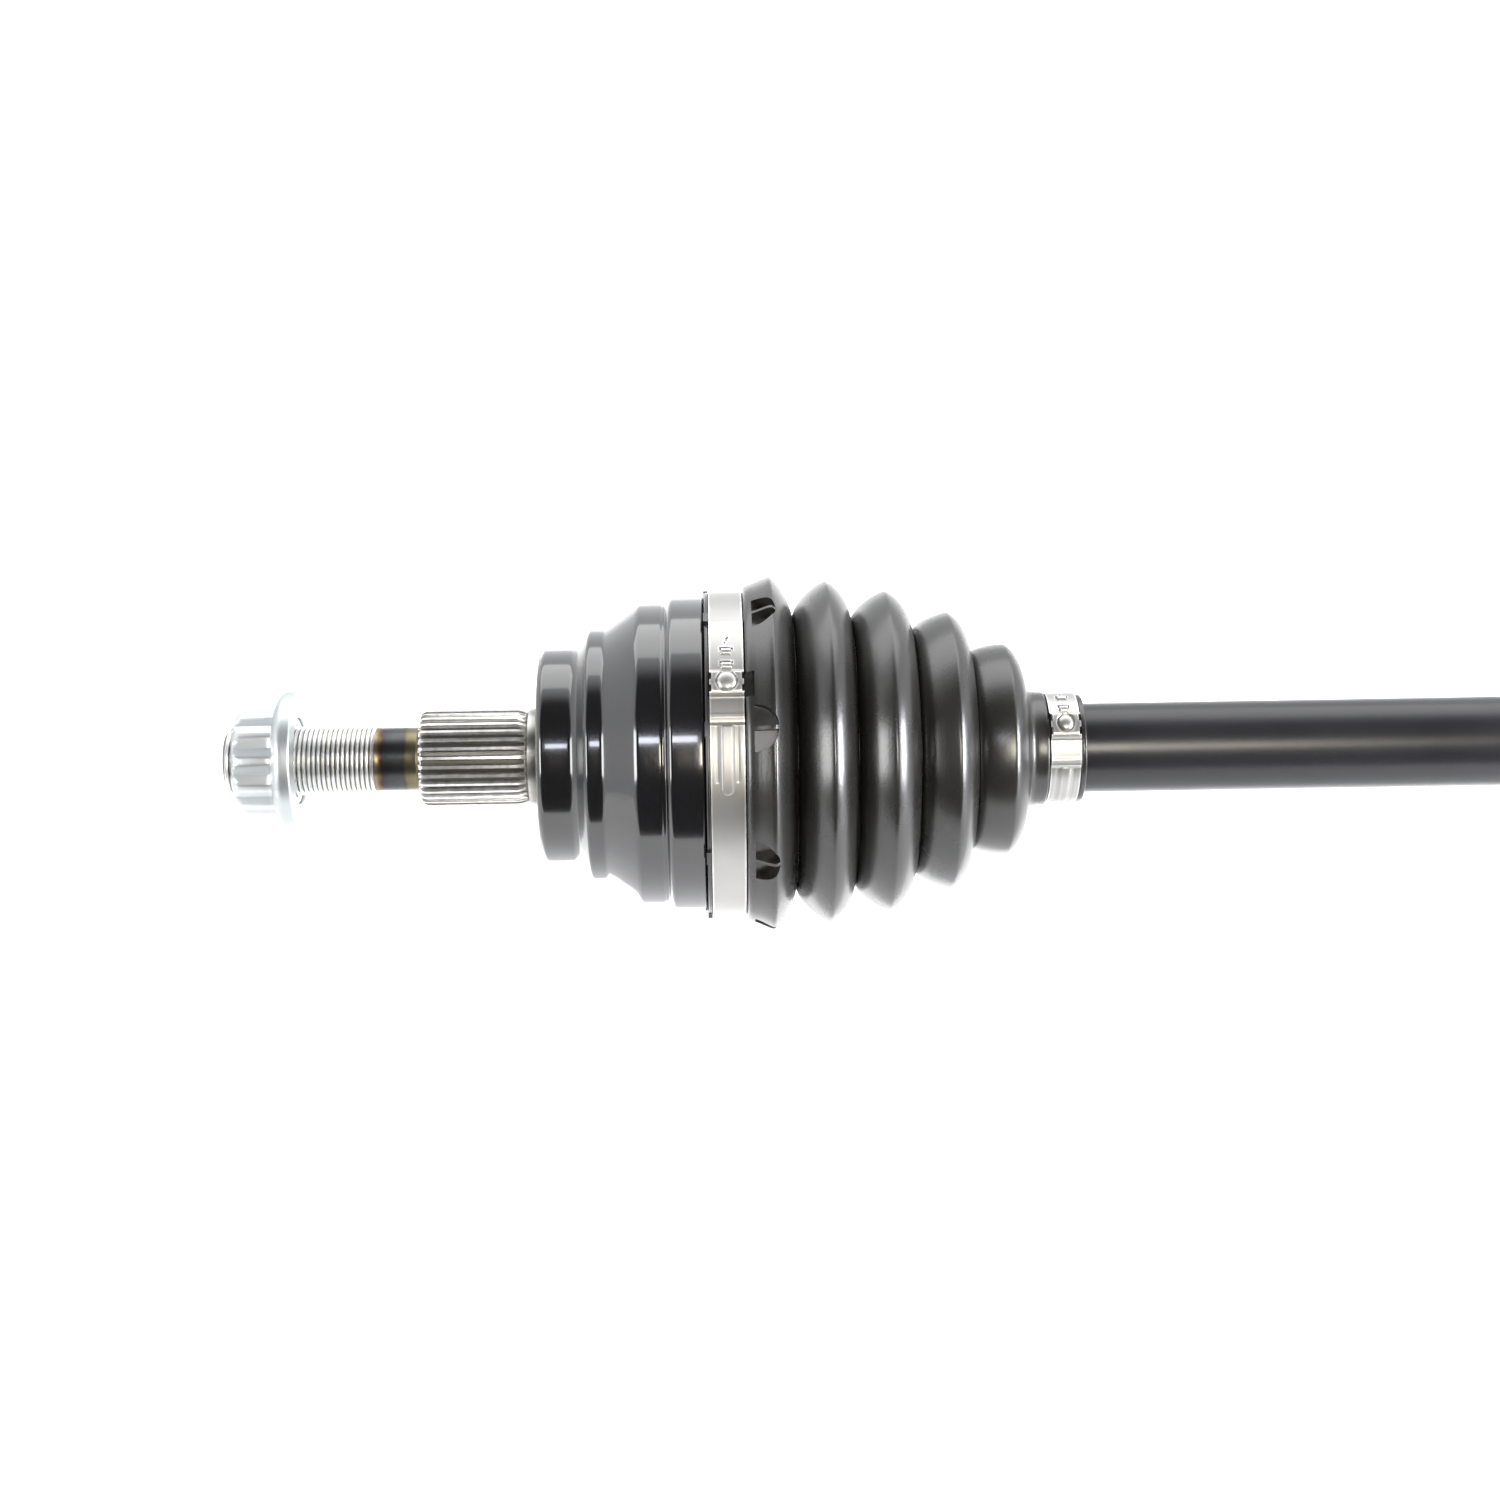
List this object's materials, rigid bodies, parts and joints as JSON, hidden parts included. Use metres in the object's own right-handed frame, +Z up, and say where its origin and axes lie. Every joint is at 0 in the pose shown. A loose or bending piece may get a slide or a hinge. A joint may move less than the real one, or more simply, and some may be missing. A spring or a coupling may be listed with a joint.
{
  "type": "cv axle",
  "caption": "Drive shaft with a fixed ball joint and hub nut at the wheel end, a plunging tripod joint at the gearbox end, and ribbed rubber boots.",
  "frame": {"origin": "centre of the shoulder of the outer joint that bears on the wheel bearing", "axes": "+X runs along the axle towards the gearbox, +Z is up"},
  "size_m": [0.6881, 0.1108, 0.1108],
  "materials": {
    "bell_paint": "gloss black enamel over forged steel, with bare machined steel on the stub",
    "housing_paint": "gloss black enamel over forged steel, with bare machined steel on the stub",
    "shaft_paint": "satin black paint",
    "boot_rubber": "satin moulded thermoplastic elastomer",
    "clamp_steel": "bright stainless strip",
    "zinc_plate": "bright zinc plate",
    "bearing_steel": "ground hardened steel with a film of grease",
    "polished_steel": "polished bearing steel",
    "spring_steel": "dark phosphated spring steel"
  },
  "bodies": {
    "hub_end": {"outer_joint_housing": "bell_paint", "outer_boot": "boot_rubber", "outer_large_clamp": "clamp_steel"},
    "ball_cage": {"outer_cage": "bearing_steel", "ball_1": "polished_steel", "ball_2": "polished_steel", "ball_3": "polished_steel", "ball_4": "polished_steel", "ball_5": "polished_steel", "ball_6": "polished_steel"},
    "axle_bar": {"axle_shaft": "shaft_paint", "outer_inner_race": "bearing_steel", "race_circlip": "spring_steel", "race_stop_ring": "spring_steel", "outer_small_clamp": "clamp_steel", "tripod_spider": "bearing_steel", "spider_circlip": "spring_steel", "spider_stop_ring": "spring_steel", "inner_small_clamp": "clamp_steel"},
    "roller_carrier_1": {"roller_inner_ring_1": "bearing_steel", "roller_needles_1": "polished_steel", "roller_retainers_1": "spring_steel"},
    "roller_carrier_2": {"roller_inner_ring_2": "bearing_steel", "roller_needles_2": "polished_steel", "roller_retainers_2": "spring_steel"},
    "roller_carrier_3": {"roller_inner_ring_3": "bearing_steel", "roller_needles_3": "polished_steel", "roller_retainers_3": "spring_steel"},
    "roller_1": {"tripod_roller_1": "polished_steel"},
    "roller_2": {"tripod_roller_2": "polished_steel"},
    "roller_3": {"tripod_roller_3": "polished_steel"},
    "gearbox_end": {"inner_joint_housing": "housing_paint", "gearbox_circlip": "spring_steel", "inner_boot": "boot_rubber", "inner_large_clamp": "clamp_steel"},
    "washer": {"nut_washer": "zinc_plate"},
    "nut": {"axle_nut": "zinc_plate"}
  },
  "joints": [
    {"name": "outer_articulation", "type": "hinge", "parent": "hub_end", "child": "axle_bar", "pos_m": [0.048, 0, 0], "axis": [0, 0, 1], "range_deg": [-45, 45], "deforming": ["outer_boot"]},
    {"name": "cage_half_angle", "type": "hinge", "parent": "hub_end", "child": "ball_cage", "pos_m": [0.048, 0, 0], "axis": [0, 0, 1], "range_deg": [-22.6, 22.6]},
    {"name": "inner_articulation", "type": "hinge", "parent": "axle_bar", "child": "roller_carrier_1", "pos_m": [0.47, 0, 0], "axis": [0, 0, 1], "range_deg": [-15, 15], "deforming": ["inner_boot"]},
    {"name": "plunge", "type": "slide", "parent": "roller_carrier_1", "child": "gearbox_end", "axis": [1, 0, 0], "range_m": [-0.015, 0.015], "deforming": ["inner_boot"]},
    {"name": "carrier_2_slide", "type": "slide", "parent": "roller_carrier_1", "child": "roller_carrier_2", "axis": [1, 0, 0], "range_m": [-0.0063, 0.0063]},
    {"name": "carrier_3_slide", "type": "slide", "parent": "roller_carrier_1", "child": "roller_carrier_3", "axis": [1, 0, 0], "range_m": [-0.0063, 0.0063]},
    {"name": "roller_1_spin", "type": "hinge", "parent": "roller_carrier_1", "child": "roller_1", "pos_m": [0.47, 0, 0.027], "axis": [0, 0, 1], "range_deg": [-50.5, 50.5]},
    {"name": "roller_2_spin", "type": "hinge", "parent": "roller_carrier_2", "child": "roller_2", "pos_m": [0.47, -0.02338, -0.0135], "axis": [0, -0.866, -0.5], "range_deg": [-50.5, 50.5]},
    {"name": "roller_3_spin", "type": "hinge", "parent": "roller_carrier_3", "child": "roller_3", "pos_m": [0.47, 0.02338, -0.0135], "axis": [0, 0.866, -0.5], "range_deg": [-50.5, 50.5]},
    {"name": "nut_travel", "type": "slide", "parent": "hub_end", "child": "washer", "axis": [1, 0, 0], "range_m": [-0.0105, 0.018]},
    {"name": "nut_spin", "type": "hinge", "parent": "washer", "child": "nut", "pos_m": [-0.08, 0, 0], "axis": [1, 0, 0], "range_deg": [-2530, 4330]}
  ],
  "couplings": [
    {"joint": "cage_half_angle", "follows": "outer_articulation", "ratio": 0.5},
    {"joint": "carrier_2_slide", "follows": "inner_articulation", "m_per_rad": -0.023383},
    {"joint": "carrier_3_slide", "follows": "inner_articulation", "m_per_rad": 0.023383},
    {"joint": "roller_1_spin", "follows": "plunge", "rad_per_m": 58.139},
    {"joint": "roller_2_spin", "follows": "plunge", "rad_per_m": 58.139},
    {"joint": "roller_3_spin", "follows": "plunge", "rad_per_m": 58.139},
    {"joint": "nut_spin", "follows": "nut_travel", "rad_per_m": 4188.8}
  ]
}
